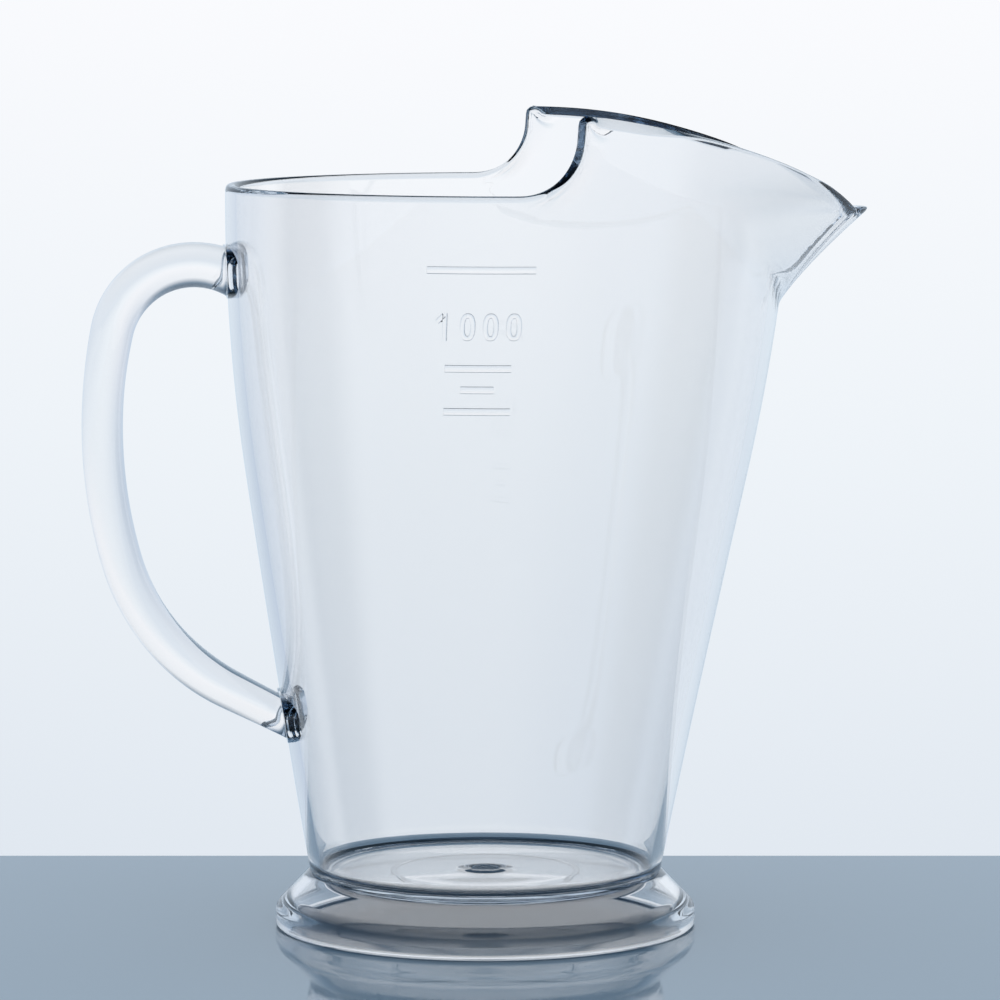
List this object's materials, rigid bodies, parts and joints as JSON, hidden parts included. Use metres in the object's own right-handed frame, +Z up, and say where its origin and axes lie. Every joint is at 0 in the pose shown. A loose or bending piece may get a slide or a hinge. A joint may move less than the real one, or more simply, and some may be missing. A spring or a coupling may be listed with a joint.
{
  "type": "beer pitcher",
  "caption": "Clear plastic beer pitcher with a tapered cup, pouring spout under a raised guard, solid bar handle and hollow foot ring.",
  "frame": {"origin": "centre of the foot's underside, on the table", "axes": "+X towards the spout, +Z up, +Y to the left of someone who pours; the handle lies on -X"},
  "size_m": [0.1788, 0.131, 0.1866],
  "materials": {
    "cup_clear": "clear injection-moulded polycarbonate, polished",
    "handle_clear": "clear injection-moulded polycarbonate, polished",
    "foot_clear": "clear injection-moulded polycarbonate, polished"
  },
  "bodies": {
    "root": {"cup_body": "cup_clear", "handle_bar": "handle_clear", "foot_ring": "foot_clear"}
  },
  "joints": []
}
